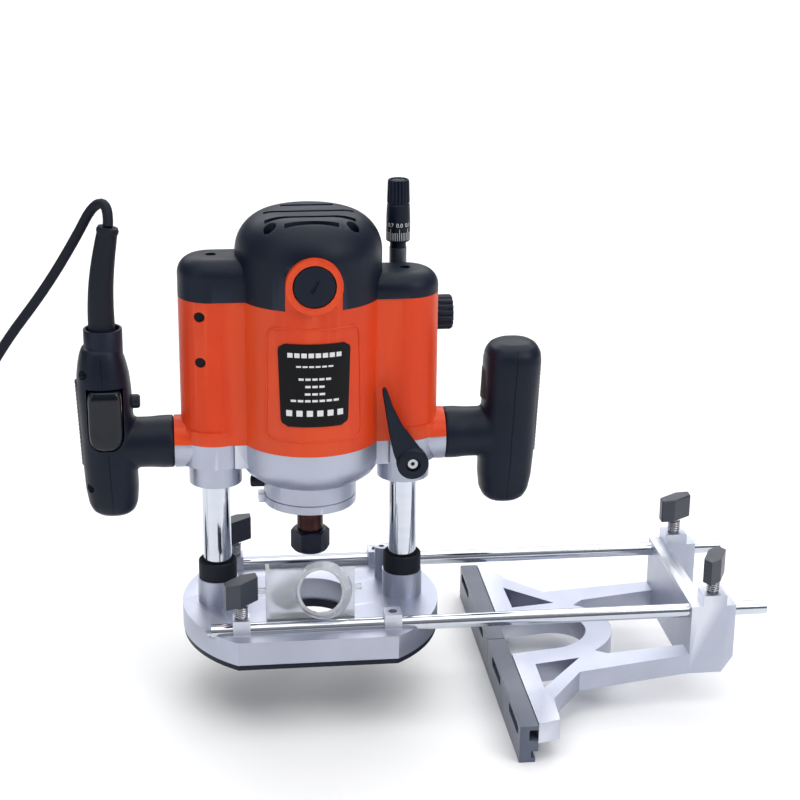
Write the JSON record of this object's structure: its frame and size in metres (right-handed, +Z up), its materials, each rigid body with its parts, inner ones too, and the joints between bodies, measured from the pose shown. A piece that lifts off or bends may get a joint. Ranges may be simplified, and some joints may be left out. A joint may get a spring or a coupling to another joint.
{
  "type": "plunge router",
  "caption": "Plunge router with twin handles, sprung columns, round base with chip deflector, and an adjustable side fence on guide rods.",
  "frame": {"origin": "where the spindle's axis meets the underside of the sole", "axes": "+Z up along the spindle and columns, +X along the guide rods towards the side fence, -Y to the user's front"},
  "size_m": [0.6593, 0.265, 0.367],
  "materials": {
    "orange_plastic": "fine satin orange moulded plastic",
    "black_plastic": "satin black moulded plastic",
    "black_rubber": "matte black rubber",
    "cast_aluminium": "satin cast aluminium",
    "chrome_steel": "polished hard chrome",
    "steel": "machined steel",
    "black_steel": "black oxide steel",
    "bronze": "sintered bronze",
    "copper": "copper and lamination steel",
    "clear_plastic": "clear acrylic",
    "grey_plastic": "satin dark grey plastic",
    "label": "glossy black label"
  },
  "bodies": {
    "base": {"base_casting": "cast_aluminium", "base_sole": "black_plastic", "sole_screws": "steel", "column_left": "chrome_steel", "column_right": "chrome_steel", "bump_rings": "black_rubber", "plunge_springs": "steel", "base_knob_springs": "steel", "cord_coil": "black_rubber", "power_plug": "black_plastic", "power_cord": "black_rubber", "chip_deflector": "clear_plastic"},
    "motor_head": {"motor_housing": "orange_plastic", "lower_housing": "cast_aluminium", "collar_ring": "cast_aluminium", "column_bushes": "bronze", "motor_cap": "black_plastic", "tower_cap_left": "black_plastic", "tower_cap_right": "black_plastic", "label_plate": "label", "brush_caps": "black_plastic", "stator": "copper", "bearings": "steel", "handle_left_front": "black_plastic", "handle_left_rear": "black_plastic", "handle_right_front": "black_plastic", "handle_right_rear": "black_plastic", "grip_pads": "black_rubber", "switch_body": "black_plastic", "strain_relief": "black_rubber", "housing_screws": "steel", "lever_screw": "steel"},
    "spindle": {"spindle_shaft": "black_steel", "rotor_core": "copper", "commutator": "copper", "fan": "black_plastic", "collet": "black_steel"},
    "collet_nut": {"collet_nut": "black_steel"},
    "lock_lever": {"lock_lever": "black_plastic"},
    "trigger": {"trigger": "black_plastic"},
    "lock_button": {"lock_button": "black_plastic"},
    "spindle_lock_button": {"spindle_lock_button": "black_plastic"},
    "depth_rod": {"depth_rod": "steel"},
    "micrometer_knob": {"micrometer_knob": "black_plastic"},
    "side_clamp_knob": {"side_clamp_knob": "black_plastic"},
    "speed_dial": {"speed_dial": "black_plastic"},
    "guide_rods": {"guide_rods": "chrome_steel"},
    "side_fence": {"guide_casting": "cast_aluminium", "fence_screws": "steel", "guide_knob_springs": "steel"},
    "fence_front": {"fence_front": "grey_plastic"},
    "fence_back": {"fence_back": "grey_plastic"},
    "wing_knob_base_front": {"wing_knob_base_front": "grey_plastic", "knob_stud_base_front": "steel"},
    "wing_knob_base_back": {"wing_knob_base_back": "grey_plastic", "knob_stud_base_back": "steel"},
    "wing_knob_guide_front": {"wing_knob_guide_front": "grey_plastic", "knob_stud_guide_front": "steel"},
    "wing_knob_guide_back": {"wing_knob_guide_back": "grey_plastic", "knob_stud_guide_back": "steel"}
  },
  "joints": [
    {"name": "plunge", "type": "slide", "parent": "base", "child": "motor_head", "axis": [0, 0, 1], "range_m": [-0.05, 0], "stiffness_N_per_m": 1100, "springref_m": 0.075, "deforming": ["plunge_springs", "power_cord"]},
    {"name": "spindle_spin", "type": "hinge", "parent": "motor_head", "child": "spindle", "pos_m": [0, 0, 0.09], "axis": [0, 0, 1], "continuous": true},
    {"name": "collet_nut_turn", "type": "hinge", "parent": "spindle", "child": "collet_nut", "pos_m": [0, 0, 0.066], "axis": [0, 0, 1], "continuous": true},
    {"name": "lock_lever_turn", "type": "hinge", "parent": "motor_head", "child": "lock_lever", "pos_m": [0.0685, -0.03, 0.133], "axis": [0, 1, 0], "range_deg": [0, 70]},
    {"name": "trigger_press", "type": "slide", "parent": "motor_head", "child": "trigger", "axis": [0, 1, 0], "range_m": [0, 0.005], "stiffness_N_per_m": 600, "springref_m": -0.003},
    {"name": "lock_button_press", "type": "slide", "parent": "motor_head", "child": "lock_button", "axis": [-1, 0, 0], "range_m": [0, 0.0025], "stiffness_N_per_m": 500, "springref_m": -0.002},
    {"name": "spindle_lock_press", "type": "slide", "parent": "motor_head", "child": "spindle_lock_button", "axis": [1, 0, 0], "range_m": [0, 0.006], "stiffness_N_per_m": 500, "springref_m": -0.002},
    {"name": "depth_rod_slide", "type": "slide", "parent": "motor_head", "child": "depth_rod", "axis": [0, 0, 1], "range_m": [-0.004, 0.04]},
    {"name": "micrometer_turn", "type": "hinge", "parent": "depth_rod", "child": "micrometer_knob", "pos_m": [0.0645, 0.028, 0.29], "axis": [0, 0, 1], "continuous": true},
    {"name": "side_clamp_turn", "type": "hinge", "parent": "motor_head", "child": "side_clamp_knob", "pos_m": [0.095, 0.028, 0.223], "axis": [1, 0, 0], "continuous": true},
    {"name": "speed_dial_turn", "type": "hinge", "parent": "motor_head", "child": "speed_dial", "pos_m": [0, 0.048, 0.206], "axis": [0, 1, 0], "range_deg": [0, 270]},
    {"name": "rods_slide", "type": "slide", "parent": "base", "child": "guide_rods", "axis": [1, 0, 0], "range_m": [-0.01, 0.05]},
    {"name": "fence_slide", "type": "slide", "parent": "guide_rods", "child": "side_fence", "axis": [1, 0, 0], "range_m": [-0.14, 0.02]},
    {"name": "fence_front_shift", "type": "slide", "parent": "side_fence", "child": "fence_front", "axis": [0, -1, 0], "range_m": [0, 0.008]},
    {"name": "fence_back_shift", "type": "slide", "parent": "side_fence", "child": "fence_back", "axis": [0, 1, 0], "range_m": [0, 0.008]},
    {"name": "wing_knob_base_front_turn", "type": "hinge", "parent": "base", "child": "wing_knob_base_front", "pos_m": [-0.052, -0.0545, 0.04], "axis": [0, 0, 1], "continuous": true},
    {"name": "wing_knob_base_back_turn", "type": "hinge", "parent": "base", "child": "wing_knob_base_back", "pos_m": [-0.052, 0.0545, 0.04], "axis": [0, 0, 1], "continuous": true},
    {"name": "wing_knob_guide_front_turn", "type": "hinge", "parent": "side_fence", "child": "wing_knob_guide_front", "pos_m": [0.2815, -0.0545, 0.04], "axis": [0, 0, 1], "continuous": true},
    {"name": "wing_knob_guide_back_turn", "type": "hinge", "parent": "side_fence", "child": "wing_knob_guide_back", "pos_m": [0.2815, 0.0545, 0.04], "axis": [0, 0, 1], "continuous": true}
  ]
}
